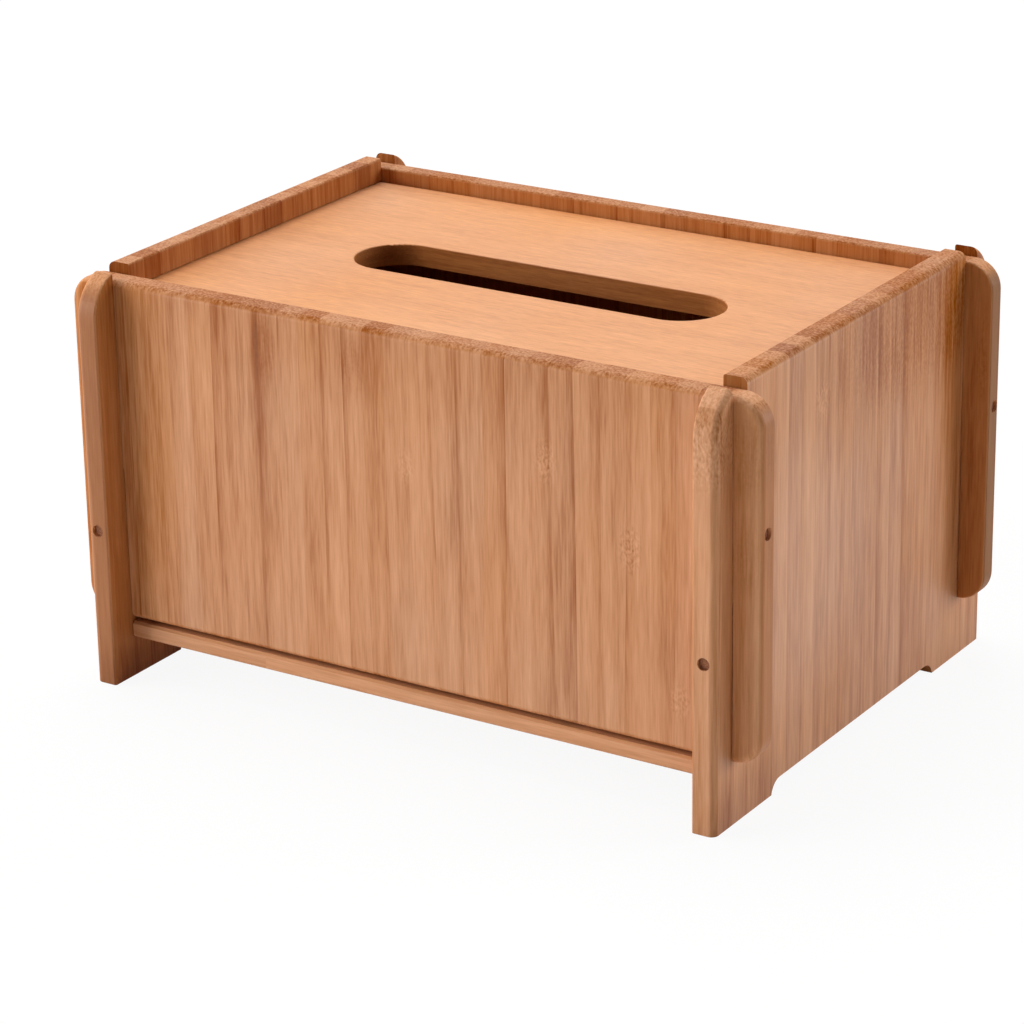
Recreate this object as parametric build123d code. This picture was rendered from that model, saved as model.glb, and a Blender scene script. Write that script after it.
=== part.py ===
from build123d import *
import os

# A knock-down tissue box of bamboo boards. The two side boards stand on the floor, the front and
# back boards drop into them at half-lap corners, the lid sits in grooves between the side boards
# and the base slides in from behind. Millimetres, with +Z up, +X to the right and -Y to the front.
# The origin is on the floor under the middle of the box.

# Overall size over the rounded board ends
LENGTH = 190.0
DEPTH = 135.0
HEIGHT = 105.0

# Side boards, left and right
SIDE_THICKNESS = 6.0
SIDE_END = 7.6  # how far a side board runs on past the front or back board
SIDE_CORNER = 11.0  # radius of its top corners
FOOT_LENGTH = 26.4
ARCH_RISE = 3.2  # hollow between the two feet of a side board
ARCH_RADIUS = 4.0

# Front and back boards
WALL_THICKNESS = 6.0
WALL_END = 7.2  # how far a front or back board runs on past a side board
WALL_CORNER = 7.0  # radius of its four corners
WALL_DROP = 2.5  # its top edge lies this far below the side boards' top
WALL_LIFT = 15.4  # its bottom edge stands this far above the floor

# Edges worn round by sanding
OUTER_EDGE = 1.8
INNER_EDGE = 0.6
BOARD_EDGE = 0.6  # lid and base

# Half-lap corners
LAP_HEIGHT = 54.6  # level where the slot from above meets the slot from below
LAP_PLAY = 0.2

# Pins across the line of each slot
PIN_DIAMETER = 3.0
LEFT_PIN_DROP = 14.3  # below the closed end of the left side board's slots
RIGHT_PIN_DROP = 12.8  # the same in the right side board
LEFT_PIN_RISE = 11.5  # above the closed end of the front board's left slot
RIGHT_PIN_RISE = 16.5  # the same at its right slot
PIN_ANCHOR = 8.0  # length past the slot's line
PIN_RECESS = 0.8
PIN_PLAY = 0.05

# Lid board
LID_THICKNESS = 5.5
LID_DROP = 3.7  # its face lies this far below the top edge of the front and back boards
LID_TONGUE = 3.0  # depth of the part that is housed in a side board
LID_PLAY = 0.2
TISSUE_SLOT_LENGTH = 102.0
TISSUE_SLOT_WIDTH = 21.8
TISSUE_SLOT_EDGE = 0.4

# Base board
BASE_THICKNESS = 4.2
BASE_GAP = 0.9  # daylight between its face and the front and back boards
BASE_TONGUE = 3.0
BASE_NOTCH = 6.0  # the tongues start this far behind its front edge, so the grooves don't show
BASE_PLAY = 0.3

# Grooves are cut this much deeper than the tongue in them, and cutters reach this far past a face
GROOVE_ROOM = 0.3
OVERCUT = 1.0

# Places that follow from the sizes
side_outer_x = LENGTH / 2 - WALL_END
side_inner_x = side_outer_x - SIDE_THICKNESS
side_middle_x = (side_outer_x + side_inner_x) / 2
wall_outer_y = DEPTH / 2 - SIDE_END
wall_inner_y = wall_outer_y - WALL_THICKNESS
wall_middle_y = (wall_outer_y + wall_inner_y) / 2
wall_top_z = HEIGHT - WALL_DROP
lid_top_z = wall_top_z - LID_DROP
lid_bottom_z = lid_top_z - LID_THICKNESS
base_top_z = WALL_LIFT - BASE_GAP
base_bottom_z = base_top_z - BASE_THICKNESS

side_pin_reach = SIDE_END + WALL_THICKNESS + PIN_ANCHOR
wall_pin_reach = WALL_END + SIDE_THICKNESS + PIN_ANCHOR

UPWARD = (Align.CENTER, Align.CENTER, Align.MIN)
DOWNWARD = (Align.CENTER, Align.CENTER, Align.MAX)


def box_between(low, high):
    """A block given by two opposite corners."""
    size = Vector(*high) - Vector(*low)
    middle = (Vector(*high) + Vector(*low)) / 2
    return Pos(*middle) * Box(*size)


def side_pin_axis(end, drop):
    """Where a pin enters the front (-1) or rear (+1) end of the right side board, under the slot."""
    mouth = (side_middle_x, end * DEPTH / 2, LAP_HEIGHT - drop)
    return Plane(origin=mouth, z_dir=(0, -end, 0))


def wall_pin_axis(end):
    """Where a pin enters the left (-1) or right (+1) end of the front board, above the slot."""
    rise = RIGHT_PIN_RISE if end > 0 else LEFT_PIN_RISE
    mouth = (end * LENGTH / 2, -wall_middle_y, LAP_HEIGHT + rise)
    return Plane(origin=mouth, z_dir=(-end, 0, 0))


def pin(axis, reach):
    """Round pin, sunk a little below the board's end and reaching this deep."""
    shaft = Cylinder(PIN_DIAMETER / 2, reach - PIN_RECESS, align=UPWARD)
    return axis * Pos(0, 0, PIN_RECESS) * shaft


def pin_hole(axis, reach):
    """Blind hole that a pin is driven into."""
    bore = Cylinder(PIN_DIAMETER / 2 + PIN_PLAY, reach + PIN_PLAY + OVERCUT, align=UPWARD)
    return axis * Pos(0, 0, -OVERCUT) * bore


def side_board(pin_drop):
    """Side board as it stands on the right: rounded top corners, feet, slots from above and grooves."""
    outline = Rectangle(DEPTH, HEIGHT, align=(Align.CENTER, Align.MIN))
    outline = fillet(outline.vertices().group_by(Axis.Y)[-1], SIDE_CORNER)
    board = extrude(Plane.YZ.offset(side_inner_x) * outline, SIDE_THICKNESS)
    board = fillet(board.faces().sort_by(Axis.X)[-1].edges().sort_by(Axis.Z)[1:], OUTER_EDGE)
    board = fillet(board.faces().sort_by(Axis.X)[0].edges().sort_by(Axis.Z)[1:], INNER_EDGE)

    arch_length = DEPTH - 2 * FOOT_LENGTH
    arch_height = ARCH_RISE + ARCH_RADIUS + OVERCUT
    arch = Pos(0, ARCH_RISE) * Rectangle(arch_length, arch_height, align=(Align.CENTER, Align.MAX))
    arch = fillet(arch.vertices().group_by(Axis.Y)[-1], ARCH_RADIUS)
    board -= extrude(Plane.YZ.offset(side_middle_x) * arch, SIDE_THICKNESS, both=True)

    for end in (-1, 1):
        slot = Box(
            SIDE_THICKNESS + 2 * OVERCUT,
            WALL_THICKNESS + 2 * LAP_PLAY,
            HEIGHT - LAP_HEIGHT + OVERCUT,
            align=UPWARD,
        )
        board -= Pos(side_middle_x, end * wall_middle_y, LAP_HEIGHT) * slot
        board -= pin_hole(side_pin_axis(end, pin_drop), side_pin_reach)

    lid_groove = box_between(
        (side_inner_x - OVERCUT, -wall_middle_y, lid_bottom_z),
        (side_inner_x + LID_TONGUE + GROOVE_ROOM, wall_middle_y, lid_top_z + LID_PLAY),
    )
    base_groove = box_between(
        (side_inner_x - OVERCUT, BASE_NOTCH - wall_outer_y - BASE_PLAY, base_bottom_z),
        (side_inner_x + BASE_TONGUE + GROOVE_ROOM, DEPTH / 2 + OVERCUT, base_top_z + BASE_PLAY),
    )
    return board - lid_groove - base_groove


def front_wall():
    """Front board: four rounded corners, edges rounded all the way round and slots from below."""
    outline = Pos(0, (wall_top_z + WALL_LIFT) / 2) * RectangleRounded(
        LENGTH, wall_top_z - WALL_LIFT, WALL_CORNER
    )
    board = extrude(Plane.XZ.offset(wall_inner_y) * outline, WALL_THICKNESS)
    board = fillet(board.faces().sort_by(Axis.Y)[0].edges(), OUTER_EDGE)
    board = fillet(board.faces().sort_by(Axis.Y)[-1].edges(), INNER_EDGE)

    for end in (-1, 1):
        slot = Box(
            SIDE_THICKNESS + 2 * LAP_PLAY,
            WALL_THICKNESS + 2 * OVERCUT,
            LAP_HEIGHT - WALL_LIFT + OVERCUT,
            align=DOWNWARD,
        )
        board -= Pos(end * side_middle_x, -wall_middle_y, LAP_HEIGHT) * slot
        board -= pin_hole(wall_pin_axis(end), wall_pin_reach)
    return board


def lid():
    """Lid board: its ends are housed in the side boards, and the tissues come up through its slot."""
    half_length = side_inner_x + LID_TONGUE
    half_depth = wall_inner_y - LID_PLAY
    board = box_between(
        (-half_length, -half_depth, lid_bottom_z), (half_length, half_depth, lid_top_z)
    )
    board = chamfer(board.edges().filter_by(Axis.X), BOARD_EDGE)
    slot = SlotOverall(TISSUE_SLOT_LENGTH, TISSUE_SLOT_WIDTH)
    board -= Pos(0, 0, lid_bottom_z - OVERCUT) * extrude(slot, LID_THICKNESS + 2 * OVERCUT)
    rim = board.faces().sort_by(Axis.Z)[-1].inner_wires()[0]
    return fillet(rim.edges(), TISSUE_SLOT_EDGE)


def base():
    """Base board: tongues run in the side boards' grooves and start behind the front corners."""
    front_x = side_inner_x - BASE_PLAY
    board = box_between(
        (-front_x, -wall_outer_y, base_bottom_z), (front_x, wall_outer_y, base_top_z)
    )
    tongue_x = side_inner_x + BASE_TONGUE
    board += box_between(
        (-tongue_x, BASE_NOTCH - wall_outer_y, base_bottom_z), (tongue_x, wall_outer_y, base_top_z)
    )
    return chamfer(board.edges().filter_by(Axis.X).group_by(Axis.Y)[0], BOARD_EDGE)


front_panel = front_wall()
half_turn = Rot(0, 0, 180)  # the back board is the front board turned round
pieces = {
    "left_panel": mirror(side_board(LEFT_PIN_DROP), about=Plane.YZ),
    "right_panel": side_board(RIGHT_PIN_DROP),
    "front_panel": front_panel,
    "back_panel": half_turn * front_panel,
    "top_panel": lid(),
    "base_panel": base(),
}
for end, place in ((-1, "front"), (1, "rear")):
    left_pin = pin(side_pin_axis(end, LEFT_PIN_DROP), side_pin_reach)
    pieces[f"left_panel_{place}_pin"] = mirror(left_pin, about=Plane.YZ)
    pieces[f"right_panel_{place}_pin"] = pin(side_pin_axis(end, RIGHT_PIN_DROP), side_pin_reach)
for end, place, turned_place in ((-1, "left", "right"), (1, "right", "left")):
    wall_pin = pin(wall_pin_axis(end), wall_pin_reach)
    pieces[f"front_panel_{place}_pin"] = wall_pin
    pieces[f"back_panel_{turned_place}_pin"] = half_turn * wall_pin

os.makedirs("parts", exist_ok=True)
for name, piece in pieces.items():
    export_step(piece, f"parts/{name}.step")
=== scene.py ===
from collections import namedtuple
from math import pi, radians

import bmesh
import bpy
from mathutils import Matrix, Vector

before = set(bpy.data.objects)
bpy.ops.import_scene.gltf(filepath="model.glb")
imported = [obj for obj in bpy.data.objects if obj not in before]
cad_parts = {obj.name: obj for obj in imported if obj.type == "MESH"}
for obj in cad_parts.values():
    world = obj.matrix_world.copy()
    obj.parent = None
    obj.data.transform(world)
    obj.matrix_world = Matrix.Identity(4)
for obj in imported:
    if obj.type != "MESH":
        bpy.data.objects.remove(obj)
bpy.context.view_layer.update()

# Side boards
# Two upright boards carry the box. Each is sawn from a panel of carbonised bamboo: strips stood on edge and
# glued side by side, grain upright. It is slotted for the front and back boards, grooved for the lid and
# the base, sanded round and rubbed with satin lacquer.

MM = 1000.0  # patterns are written in millimetres, and a mesh is in metres
STRIP_WIDTH = 6.3
JOINT_SWAY = 6.0  # how far a glued joint may wander from its line
FIBRES = ((3.0, 60.0, 0.3), (1.0, 22.0, 0.26), (0.4, 7.0, 0.24))  # width, length and weight of each kind
FIBRE_SHIFT = 300.0  # the most that a strip's fibres are moved along the grain
FIBRE_RELIEF = 0.06
SANDED_LENGTH = 4.0  # over which the end grain turns paler towards a rounded end

# How often a pattern repeats in a millimetre: along the row of strips, through the board and up the grain
SWAYS = (0.03, 0.0, 0.005)
CLOUDS = (0.05, 0.05, 0.02)
SPECKLES = (1.7, 1.7, 0.9)  # about 0.6 by 1.1 mm each
END_DOTS = (1.8, 1.8, 0.3)  # bundles of fibres, drawn about half a millimetre across to show

# The most that each pattern adds to the tone of the wood, which runs from 0, dark, to 1, pale
STRIP_TONE = 0.09
CLOUD_TONE = 0.14
SKIN_TONE = -0.32
END_TONE, END_DOT_TONE, END_STRIP_TONE = 0.02, 0.62, 0.16
ROUND_END_TONE = 0.18

DEPTH, DEPTH_SPREAD, END_DEPTH = 0.91, 0.13, -0.06  # of colour, and what the end grain adds to it
LACQUER_SHINE = 0.5
END_GRAIN_SHINE = 0.3
WORN_EDGE_SHINE = 0.05
LACQUER_ROUGHNESS, FIBRE_ROUGHNESS, END_GRAIN_ROUGHNESS = 0.4, 0.15, 0.2
SIDE_TURN = (0.0, 0.0, radians(-90))
SIDE_SLOT_REACH = 62.0

# A patch of a board: its middle along the row of strips and up the grain, its half width and half height,
# how much paler it is, how strongly it is speckled and how much more it shines
Mark = namedtuple("Mark", "row height half_width half_height shade speckle shine", defaults=(0.0,) * 3)

# A face that differs from the outer one, by a tint over the wood, which is painted shade on inner faces and
# ends, and by its shine
Face = namedtuple("Face", "tint shine")
# Inner faces are darkened by a tint that is painted shade, and are matt
INNER_SHADE = Face("#EBDDBF", 0.1)
CUT = Face("#DDCFB1", 0.05)


def linear(colour):
    """The linear colour, with alpha, of an sRGB hex value."""
    shares = [int(colour[i:i + 2], 16) / 255 for i in (1, 3, 5)]
    return [s / 12.92 if s <= 0.04045 else ((s + 0.055) / 1.055) ** 2.4 for s in shares] + [1.0]


def add(tree, kind, inputs, **settings):
    """A new node with its settings.
    An input, by name or number, is a value, an output or a node, which stands for its first output."""
    node = tree.nodes.new("ShaderNode" + kind)
    for name, value in settings.items():
        setattr(node, name, value)
    for socket, value in inputs.items():
        if isinstance(value, bpy.types.Node):
            value = value.outputs[0]
        if isinstance(value, bpy.types.NodeSocket):
            tree.links.new(value, node.inputs[socket])
        else:
            node.inputs[socket].default_value = value
    return node


def glued_bamboo(name, turn, seed, inward, slot_reach, faces, marks):
    """Pressed bamboo. The eye gets a row of warm brown bands, no two alike, with fine streaks along the
    grain, a soft sheen on the flat faces and matt, dotted end grain.
    Turn brings the grain to Z and the row of strips to X, and seed picks the strips. Inward is the sign of
    the inner face on Y, and slots are cut as far out as slot_reach along the row."""
    material = bpy.data.materials.new(name)
    material.use_nodes = True
    tree = material.node_tree
    shader = tree.nodes["Principled BSDF"]
    place = add(tree, "TexCoord", {})
    board = {"Vector": place.outputs["Object"], "Rotation": turn, "Scale": (MM, MM, MM)}
    board = add(tree, "Mapping", board)
    along = add(tree, "SeparateXYZ", {0: board})
    facing = {"Vector": place.outputs["Normal"], "Rotation": turn}
    facing = add(tree, "Mapping", facing, vector_type="VECTOR")
    facing = add(tree, "SeparateXYZ", {0: facing})

    # Strips, each with three chances of its own
    sway = {0: board, 1: SWAYS, 2: (seed, seed, seed)}
    sway = add(tree, "VectorMath", sway, operation="MULTIPLY_ADD")
    sway = add(tree, "TexNoise", {"Vector": sway, "Scale": 1.0, "Detail": 1.0})
    strip = {0: sway, 1: JOINT_SWAY, 2: along.outputs["X"]}
    strip = add(tree, "Math", strip, operation="MULTIPLY_ADD")
    strip = add(tree, "Math", {0: strip, 1: 1 / STRIP_WIDTH}, operation="MULTIPLY")
    across = add(tree, "Math", {0: strip}, operation="FRACT")
    index = add(tree, "Math", {0: strip}, operation="FLOOR")
    index = add(tree, "Math", {0: index, 1: seed}, operation="ADD")
    chance = add(tree, "TexWhiteNoise", {"W": index}, noise_dimensions="1D")
    chance = add(tree, "SeparateColor", {0: chance.outputs["Color"]})

    # Tone: the strip's own, clouds, then fibres that start elsewhere in each strip
    cloud = {0: board, 1: CLOUDS, 2: (seed, 0.0, seed)}
    cloud = add(tree, "VectorMath", cloud, operation="MULTIPLY_ADD")
    cloud = add(tree, "TexNoise", {"Vector": cloud, "Scale": 1.0, "Detail": 2.0})
    tone = add(tree, "Math", {0: chance.outputs["Red"], 1: STRIP_TONE}, operation="MULTIPLY")
    tone = add(tree, "Math", {0: cloud, 1: CLOUD_TONE, 2: tone}, operation="MULTIPLY_ADD")
    start = {0: chance.outputs["Green"], 1: FIBRE_SHIFT, 2: along.outputs["Z"]}
    start = add(tree, "Math", start, operation="MULTIPLY_ADD")
    strand = {"X": along.outputs["X"], "Y": along.outputs["Y"], "Z": start}
    strand = add(tree, "CombineXYZ", strand)
    for width, length, weight in FIBRES:
        fibre = {0: strand, 1: (1 / width, 1 / width, 1 / length)}
        fibre = add(tree, "VectorMath", fibre, operation="MULTIPLY")
        fibre = add(tree, "TexNoise", {"Vector": fibre, "Scale": 1.0, "Detail": 2.0})
        tone = add(tree, "Math", {0: fibre, 1: weight, 2: tone}, operation="MULTIPLY_ADD")

    # A strip darkens to the side that was the stalk's skin, strongly in some strips and hardly in others
    skin = add(tree, "Math", {0: chance.outputs["Blue"]}, operation="ROUND")
    skin = add(tree, "Math", {0: across, 1: skin}, operation="SUBTRACT")
    skin = add(tree, "Math", {0: skin}, operation="ABSOLUTE")
    skin = add(tree, "Math", {0: skin, 1: 4.0}, operation="POWER")
    strength = add(tree, "Math", {0: chance.outputs["Blue"], 1: 0.5}, operation="SUBTRACT")
    strength = add(tree, "Math", {0: strength}, operation="ABSOLUTE")
    skin = add(tree, "Math", {0: skin, 1: strength}, operation="MULTIPLY")
    tone = add(tree, "Math", {0: skin, 1: SKIN_TONE, 2: tone}, operation="MULTIPLY_ADD")

    # Marks: shaded patches, and knots where the stalk had its rings and the fibres break up into speckles
    speckle = add(tree, "VectorMath", {0: board, 1: SPECKLES}, operation="MULTIPLY")
    speckle = add(tree, "TexNoise", {"Vector": speckle, "Scale": 1.0, "Detail": 1.0})
    speckle = add(tree, "Math", {0: speckle, 1: 0.5}, operation="SUBTRACT")
    shine = LACQUER_SHINE
    for mark in marks:
        scale = Vector((1 / mark.half_width, 0.0, 1 / mark.half_height))
        patch = {0: board, 1: scale, 2: scale * Vector((-mark.row, 0.0, -mark.height))}
        patch = add(tree, "VectorMath", patch, operation="MULTIPLY_ADD")
        patch = add(tree, "VectorMath", {0: patch}, operation="LENGTH")
        patch = {"Value": patch.outputs["Value"], "From Min": 1.0, "From Max": 0.3}
        patch = add(tree, "MapRange", patch, interpolation_type="SMOOTHSTEP")
        change = {0: speckle, 1: mark.speckle, 2: mark.shade}
        change = add(tree, "Math", change, operation="MULTIPLY_ADD")
        tone = add(tree, "Math", {0: patch, 1: change, 2: tone}, operation="MULTIPLY_ADD")
        shine = add(tree, "Math", {0: patch, 1: mark.shine, 2: shine}, operation="MULTIPLY_ADD")

    # End grain on the sawn tops, dotted with the cut ends of the fibres. It is paler past the slots, where
    # the ends are sanded round
    side = add(tree, "Math", {0: along.outputs["X"]}, operation="ABSOLUTE")
    past = {"Value": side, "From Min": slot_reach - SANDED_LENGTH, "From Max": slot_reach}
    past = add(tree, "MapRange", past, interpolation_type="SMOOTHSTEP")
    dots = add(tree, "VectorMath", {0: board, 1: END_DOTS}, operation="MULTIPLY")
    dots = add(tree, "TexNoise", {"Vector": dots, "Scale": 1.0, "Detail": 2.0})
    dots = add(tree, "Math", {0: dots, 1: END_DOT_TONE, 2: END_TONE}, operation="MULTIPLY_ADD")
    dots = {0: chance.outputs["Red"], 1: END_STRIP_TONE, 2: dots}
    dots = add(tree, "Math", dots, operation="MULTIPLY_ADD")
    dots = add(tree, "Math", {0: past, 1: ROUND_END_TONE, 2: dots}, operation="MULTIPLY_ADD")
    end = add(tree, "Math", {0: facing.outputs["Z"]}, operation="ABSOLUTE")
    end = {"Value": end, "From Min": 0.25, "From Max": 0.8}
    end = add(tree, "MapRange", end, interpolation_type="SMOOTHSTEP")
    tone = add(tree, "Mix", {0: end, 2: tone, 3: dots})
    shine = add(tree, "Mix", {0: end, 2: shine, 3: END_GRAIN_SHINE})

    # The lacquer is rubbed off the rounded edges, which face along none of the axes
    flat = add(tree, "VectorMath", {0: place.outputs["Normal"]}, operation="ABSOLUTE")
    flat = add(tree, "SeparateXYZ", {0: flat})
    most = add(tree, "Math", {0: flat.outputs["X"], 1: flat.outputs["Y"]}, operation="MAXIMUM")
    most = add(tree, "Math", {0: most, 1: flat.outputs["Z"]}, operation="MAXIMUM")
    worn = add(tree, "MapRange", {"Value": most, "From Min": 0.99, "From Max": 0.9})
    shine = add(tree, "Mix", {0: worn, 2: shine, 3: WORN_EDGE_SHINE})

    # Colour by tone, deeper in some strips and clouds than in others and greyer on the end grain
    colour = add(tree, "ValToRGB", {0: tone})
    ramp = colour.color_ramp.elements
    ramp[0].position, ramp[0].color = 0.08, linear("#5C2A00")
    ramp[1].position, ramp[1].color = 0.76, linear("#E4A87D")
    ramp.new(0.29).color = linear("#9B5001")
    ramp.new(0.5).color = linear("#C78858")
    depth = {0: chance.outputs["Green"], 1: 0.4, 2: cloud}
    depth = add(tree, "Math", depth, operation="MULTIPLY_ADD")
    depth = add(tree, "Math", {0: depth, 1: DEPTH_SPREAD, 2: DEPTH}, operation="MULTIPLY_ADD")
    depth = add(tree, "Math", {0: end, 1: END_DEPTH, 2: depth}, operation="MULTIPLY_ADD")
    colour = add(tree, "HueSaturation", {"Saturation": depth, "Color": colour}).outputs[0]

    # Inner faces, cuts and ends get a tint and less shine; on inner faces and ends the tint is painted
    # shade, and cuts are darker and matt
    outer = add(tree, "Math", {0: side, 1: slot_reach}, operation="GREATER_THAN")
    ends = add(tree, "Math", {0: facing.outputs["X"], 1: outer}, operation="MULTIPLY")
    cuts = add(tree, "Math", {0: facing.outputs["X"], 1: ends}, operation="SUBTRACT")
    towards = {
        "inner": add(tree, "Math", {0: facing.outputs["Y"], 1: inward}, operation="MULTIPLY"),
        "low end": add(tree, "Math", {0: ends, 1: -1.0}, operation="MULTIPLY"),
        "high end": ends,
        "cut": add(tree, "Math", {0: cuts}, operation="ABSOLUTE"),
    }
    for which, face in faces.items():
        share = {"Value": towards[which], "From Min": 0.6, "From Max": 0.9}
        share = add(tree, "MapRange", share)
        colour = {0: share, 6: colour, 7: linear(face.tint)}
        colour = add(tree, "Mix", colour, data_type="RGBA", blend_type="MULTIPLY").outputs[2]
        shine = add(tree, "Mix", {0: share, 2: shine, 3: face.shine})
    tree.links.new(colour, shader.inputs["Base Color"])
    tree.links.new(shine.outputs[0], shader.inputs["Specular IOR Level"])

    # Satin lacquer that lets the fibres be felt
    gloss = {0: fibre, 1: FIBRE_ROUGHNESS, 2: LACQUER_ROUGHNESS}
    gloss = add(tree, "Math", gloss, operation="MULTIPLY_ADD")
    gloss = add(tree, "Math", {0: end, 1: END_GRAIN_ROUGHNESS, 2: gloss}, operation="MULTIPLY_ADD")
    tree.links.new(gloss.outputs[0], shader.inputs["Roughness"])
    relief = {"Strength": 0.3, "Distance": FIBRE_RELIEF / MM, "Height": tone}
    relief = add(tree, "Bump", relief)
    tree.links.new(relief.outputs[0], shader.inputs["Normal"])
    return material


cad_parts["left_panel"].material_slots[0].material = glued_bamboo(
    "side_pressed_bamboo_left",
    turn=SIDE_TURN, seed=11.0, inward=-1.0, slot_reach=SIDE_SLOT_REACH,
    # The front end's tint is painted shade
    faces={"inner": INNER_SHADE, "low end": Face("#C0AB90", 0.3), "cut": CUT},
    marks=(
        # Two knots
        Mark(-30.0, 40.0, 4.0, 6.0, shade=0.02, speckle=0.4),
        Mark(20.0, 80.0, 4.0, 6.0, shade=0.02, speckle=0.4),
        # Painted light paling the shaded front end, painted shade under the rim, and a painted shadow on
        # the front foot under the base
        Mark(-66.0, 55.0, 8.0, 80.0, shade=0.12),
        Mark(0.0, 105.0, 200.0, 9.0, shade=-0.08),
        Mark(-54.0, 1.0, 28.0, 13.0, shade=-0.12),
    ),
)
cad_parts["right_panel"].material_slots[0].material = glued_bamboo(
    "side_pressed_bamboo_right",
    turn=SIDE_TURN, seed=23.0, inward=1.0, slot_reach=SIDE_SLOT_REACH,
    faces={"inner": INNER_SHADE, "cut": CUT},
    marks=(
        # A knot, and the worn, speckled top of the front corner
        Mark(-18.6, 89.4, 5.0, 6.0, shade=0.02, speckle=0.4),
        Mark(-68.0, 93.0, 14.0, 14.0, shade=0.02, speckle=0.5),
        # Darker and duller at the rear top, painted shade by the rear corner, and painted shade low on the
        # front foot
        Mark(30.0, 98.0, 60.0, 30.0, shade=-0.12, speckle=0.2, shine=-0.1),
        Mark(52.0, 80.0, 16.0, 60.0, shade=-0.09, shine=-0.4),
        Mark(-63.0, 4.0, 4.0, 16.0, shade=-0.12),
        Mark(-53.0, 3.0, 17.0, 15.0, shade=-0.08),
        # More shine over the middle, a painted sheen where the floor is reflected, and painted light paling
        # the rounded front end
        Mark(-30.0, 50.0, 45.0, 42.0, shade=0.02, shine=0.5),
        Mark(25.0, 40.0, 40.0, 50.0, shade=-0.05, shine=0.3),
        Mark(-70.0, 45.0, 8.0, 100.0, shade=0.13, shine=-0.2),
    ),
)

# Front and back boards
# Two boards of the same pressed bamboo, grain upright, sanded round on all four edges. Slots sawn from
# below let them drop over the side boards, and nothing else holds them.

WALL_TURN = (0.0, 0.0, 0.0)
WALL_SLOT_REACH = 90.0

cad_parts["front_panel"].material_slots[0].material = glued_bamboo(
    "side_pressed_bamboo_front",
    turn=WALL_TURN, seed=5.0, inward=1.0, slot_reach=WALL_SLOT_REACH,
    faces={
        "inner": INNER_SHADE,
        # The tints on both ends are painted shade
        "low end": Face("#BDB2A6", 0.1),
        "high end": Face("#CFB996", 0.3),
        "cut": CUT,
    },
    marks=(
        # Four knots
        Mark(39.4, 78.8, 4.0, 7.0, shade=0.02, speckle=0.4),
        Mark(61.6, 61.9, 4.0, 8.0, shade=0.01, speckle=0.5),
        Mark(1.3, 70.6, 3.5, 6.0, shade=0.03, speckle=0.3),
        Mark(74.4, 27.7, 3.5, 6.0, shade=0.03, speckle=0.4),
        # Two darker spots under the rim
        Mark(-38.0, 93.0, 5.0, 14.0, shade=-0.07, speckle=0.1),
        Mark(-13.0, 93.0, 5.0, 12.0, shade=-0.06, speckle=0.1),
        # Painted shadow of the left board's front end over the left end, duller there, and painted shade on
        # its last few millimetres
        Mark(-84.0, 58.0, 24.0, 110.0, shade=-0.06, shine=-0.45),
        Mark(-97.0, 58.0, 4.5, 110.0, shade=-0.07),
        # A dull right end with streaks and stains, painted light over it and towards its outer edge, and
        # painted shade in the corner by the right board
        Mark(92.0, 58.0, 9.0, 110.0, shade=0.07, shine=-0.45),
        Mark(88.0, 58.0, 4.0, 110.0, shade=-0.08),
        Mark(92.0, 90.0, 7.0, 14.0, shade=-0.06, speckle=0.15),
        Mark(92.0, 66.0, 7.0, 12.0, shade=-0.05, speckle=0.1),
        Mark(95.0, 58.0, 5.0, 110.0, shade=0.13),
        # Darker above and paler below
        Mark(0.0, 105.0, 130.0, 30.0, shade=-0.05, shine=-0.1),
        Mark(0.0, 10.0, 130.0, 45.0, shade=0.04, shine=0.1),
    ),
)
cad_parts["back_panel"].material_slots[0].material = glued_bamboo(
    "side_pressed_bamboo_back",
    turn=WALL_TURN, seed=37.0, inward=-1.0, slot_reach=WALL_SLOT_REACH,
    # The right end's tint is painted shade
    faces={"inner": INNER_SHADE, "high end": Face("#AEA38C", 0.15), "cut": CUT},
    marks=(
        # Two knots
        Mark(-40.0, 60.0, 4.0, 6.0, shade=0.02, speckle=0.4),
        Mark(25.0, 35.0, 4.0, 6.0, shade=0.02, speckle=0.4),
        # Painted light paling the shaded right end, painted shade along its corner with the right board,
        # and a streak
        Mark(92.0, 58.0, 9.0, 110.0, shade=0.1),
        Mark(89.5, 58.0, 2.5, 110.0, shade=-0.1),
        Mark(93.0, 80.0, 2.0, 20.0, shade=-0.05, speckle=0.2),
    ),
)

# Lid
# One thin plywood board faced with a pale bamboo veneer, grain lengthwise. Its ends are housed in grooves
# of the side boards, and the slot for the tissues is routed through it and eased at the rim.

VENEER_FIBRES = ((12.0, 90.0, 0.24), (2.0, 40.0, 0.18), (0.7, 9.0, 0.3), (0.3, 3.0, 0.48))  # as FIBRES
VENEER_RELIEF = 0.05
VENEER_ROUGHNESS = 0.38
PLIES = (0.03, 0.03, 1.1)  # repeats in a millimetre, so that a ply is about 0.9 mm thick
VENEER_TONE, PLY_TONE = -0.1, 0.7
CUT_SHINE = 0.1

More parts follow.
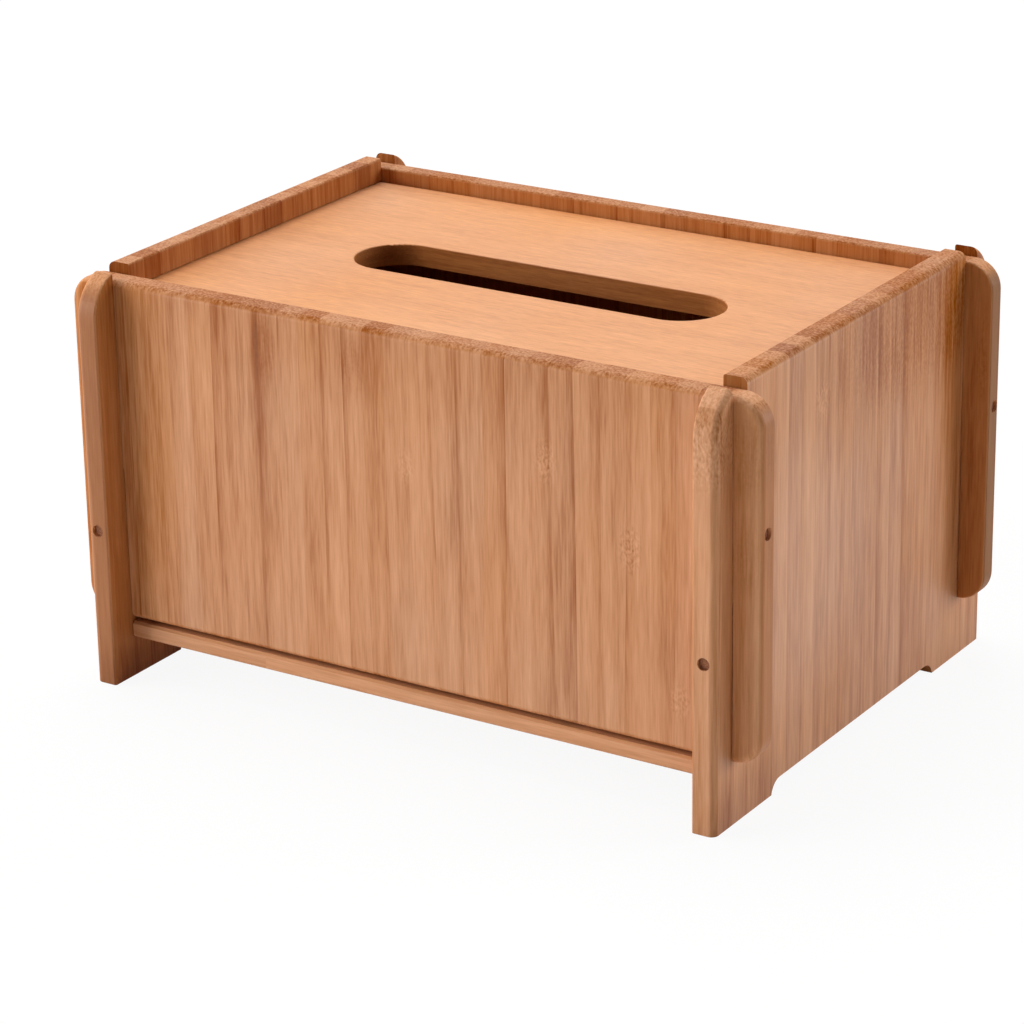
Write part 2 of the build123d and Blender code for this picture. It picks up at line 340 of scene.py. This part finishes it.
# Sliced veneer: an even pale face with faint short streaks and a soft sheen. A cut shows the plies, darker
# and matt
veneer = bpy.data.materials.new("bamboo_veneer")
veneer.use_nodes = True
tree = veneer.node_tree
shader = tree.nodes["Principled BSDF"]
place = add(tree, "TexCoord", {})
face = add(tree, "Mapping", {"Vector": place.outputs["Object"], "Scale": (MM, MM, MM)})
cut = add(tree, "SeparateXYZ", {0: place.outputs["Normal"]})
cut = add(tree, "MapRange", {"Value": cut.outputs["Z"], "From Min": 0.9, "From Max": 0.3})
plies = add(tree, "VectorMath", {0: face, 1: PLIES}, operation="MULTIPLY")
plies = add(tree, "TexNoise", {"Vector": plies, "Scale": 1.0, "Detail": 2.0})
plies = add(tree, "Math", {0: plies, 1: 0.5}, operation="SUBTRACT")
tone = add(tree, "Math", {0: plies, 1: cut}, operation="MULTIPLY")
tone = add(tree, "Math", {0: tone, 1: PLY_TONE, 2: VENEER_TONE}, operation="MULTIPLY_ADD")
for width, length, weight in VENEER_FIBRES:
    fibre = {0: face, 1: (1 / length, 1 / width, 1 / width)}
    fibre = add(tree, "VectorMath", fibre, operation="MULTIPLY")
    fibre = add(tree, "TexNoise", {"Vector": fibre, "Scale": 1.0, "Detail": 2.0})
    tone = add(tree, "Math", {0: fibre, 1: weight, 2: tone}, operation="MULTIPLY_ADD")
colour = add(tree, "ValToRGB", {0: tone})
ramp = colour.color_ramp.elements
ramp[0].position, ramp[0].color = 0.3, linear("#C98555")
ramp[1].position, ramp[1].color = 0.7, linear("#F0AB71")
cloud = add(tree, "TexNoise", {"Vector": face, "Scale": 1 / 50, "Detail": 1.0})
depth = add(tree, "Math", {0: cloud, 1: 0.2, 2: 0.9}, operation="MULTIPLY_ADD")
colour = add(tree, "HueSaturation", {"Saturation": depth, "Color": colour})
colour = {0: cut, 6: colour, 7: linear("#CCB698")}
colour = add(tree, "Mix", colour, data_type="RGBA", blend_type="MULTIPLY")
tree.links.new(colour.outputs[2], shader.inputs["Base Color"])
shine = add(tree, "Mix", {0: cut, 2: LACQUER_SHINE, 3: CUT_SHINE})
tree.links.new(shine.outputs[0], shader.inputs["Specular IOR Level"])
gloss = {0: fibre, 1: FIBRE_ROUGHNESS, 2: VENEER_ROUGHNESS}
gloss = add(tree, "Math", gloss, operation="MULTIPLY_ADD")
tree.links.new(gloss.outputs[0], shader.inputs["Roughness"])
relief = add(tree, "Bump", {"Strength": 0.3, "Distance": VENEER_RELIEF / MM, "Height": tone})
tree.links.new(relief.outputs[0], shader.inputs["Normal"])
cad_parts["top_panel"].material_slots[0].material = veneer

# Base
# A thinner board of pressed bamboo, grain lengthwise, with a paler front edge. It slides in from behind on
# tongues that run in the side boards' grooves.

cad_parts["base_panel"].material_slots[0].material = glued_bamboo(
    "flat_pressed_bamboo",
    turn=(radians(-90), radians(-90), 0.0), seed=53.0, inward=1.0, slot_reach=0.0,
    faces={},
    marks=(Mark(-60.0, 0.0, 20.0, 200.0, shade=0.11),),
)

# Pins
# Round bamboo pins driven into blind holes at the boards' ends, where they keep the wood from splitting at
# a slot. Each is sunk a little below the face.

PIN_GRAIN = 0.4

# Cut bamboo end grain: a dark, matt, mottled disc at the foot of its hole
pin = bpy.data.materials.new("dark_pin_end_grain")
pin.use_nodes = True
tree = pin.node_tree
shader = tree.nodes["Principled BSDF"]
place = add(tree, "TexCoord", {})
grain = add(tree, "Mapping", {"Vector": place.outputs["Object"], "Scale": (MM, MM, MM)})
grain = add(tree, "TexNoise", {"Vector": grain, "Scale": 1 / PIN_GRAIN, "Detail": 2.0})
colour = add(tree, "ValToRGB", {0: grain})
ramp = colour.color_ramp.elements
ramp[0].position, ramp[0].color = 0.3, linear("#6A381E")
ramp[1].position, ramp[1].color = 0.7, linear("#A2663E")
tree.links.new(colour.outputs[0], shader.inputs["Base Color"])
shader.inputs["Roughness"].default_value = 0.7
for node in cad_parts:
    if node.endswith("_pin"):
        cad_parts[node].material_slots[0].material = pin

# Floor and backdrop
# A plain white sweep of matt paper. Seen by the camera or in the lacquer it is white, and it keeps a faint
# shadow. The surround is as white, and gives the object a little light from all round.

FLOOR_REACH = 4.0
FLOOR_WHITENESS = 0.92  # the rest of it takes light and shadow
SURROUND_LIGHT = 0.1


def seen_ray(tree):
    """1 for a ray from the camera, or from a glossy or clear surface, and 0 for one of scattered light."""
    path = add(tree, "LightPath", {})
    seen = {0: path.outputs["Is Camera Ray"], 1: path.outputs["Is Glossy Ray"]}
    seen = add(tree, "Math", seen, operation="MAXIMUM")
    seen = {0: seen, 1: path.outputs["Is Transmission Ray"]}
    return add(tree, "Math", seen, operation="MAXIMUM")


mesh = bpy.data.meshes.new("floor")
shape = bmesh.new()
bmesh.ops.create_grid(shape, x_segments=1, y_segments=1, size=FLOOR_REACH)
shape.to_mesh(mesh)
shape.free()
floor = bpy.data.objects.new("floor", mesh)
bpy.context.scene.collection.objects.link(floor)
white = bpy.data.materials.new("white_sweep")
white.use_nodes = True
tree = white.node_tree
tree.nodes.clear()
seen = add(tree, "Math", {0: seen_ray(tree), 1: FLOOR_WHITENESS}, operation="MULTIPLY")
matt = add(tree, "BsdfDiffuse", {"Color": linear("#F9F9F9")})
glow = add(tree, "Emission", {"Strength": 1.0})
mixed = add(tree, "MixShader", {0: seen, 1: matt, 2: glow})
add(tree, "OutputMaterial", {"Surface": mixed})
mesh.materials.append(white)

world = bpy.data.worlds.new("white_surround")
bpy.context.scene.world = world
world.use_nodes = True
tree = world.node_tree
tree.nodes.clear()
level = add(tree, "Math", {0: seen_ray(tree), 1: SURROUND_LIGHT}, operation="MAXIMUM")
surround = add(tree, "Background", {"Strength": level})
add(tree, "OutputWorld", {"Surface": surround})

# Lights
# A large soft light high on the left, and two low fills at the front left and the rear right.
# A level of 1 shows a face that is turned to the lamp in the colour that is written.

AIM = Vector((0.0, 0.0, 0.05))

for name, place, size, level in (
    ("high_key", (-0.7, 0.5, 2.4), 1.8, 0.88),
    ("front_fill", (-1.2, -0.85, 0.5), 1.1, 0.9),
    ("rear_fill", (1.0, 1.0, 0.5), 0.8, 0.5),
):
    beam = AIM - Vector(place)
    lamp = bpy.data.objects.new(name, bpy.data.lights.new(name, "AREA"))
    lamp.data.size = size
    lamp.data.energy = level * pi ** 2 * beam.length_squared
    turn = beam.to_track_quat("-Z", "Y").to_matrix().to_4x4()
    lamp.matrix_world = Matrix.Translation(place) @ turn
    bpy.context.scene.collection.objects.link(lamp)

# Camera
# The photo's view: from the front right and above, with a long lens. Its place and turn were fitted to the
# corners and edges of the boards.

EYE = (0.46328, -0.73217, 0.37083)
HEADING, DIP, ROLL = radians(32.778), radians(20.936), radians(-0.959)

camera = bpy.data.objects.new("camera", bpy.data.cameras.new("camera"))
camera.data.sensor_width = 36.0
camera.data.lens = 132.4
turn = Matrix.Rotation(HEADING, 4, "Z") @ Matrix.Rotation(pi / 2 - DIP, 4, "X")
camera.matrix_world = Matrix.Translation(EYE) @ turn @ Matrix.Rotation(ROLL, 4, "Z")
bpy.context.scene.collection.objects.link(camera)
bpy.context.scene.camera = camera
bpy.context.scene.view_settings.view_transform = "Standard"
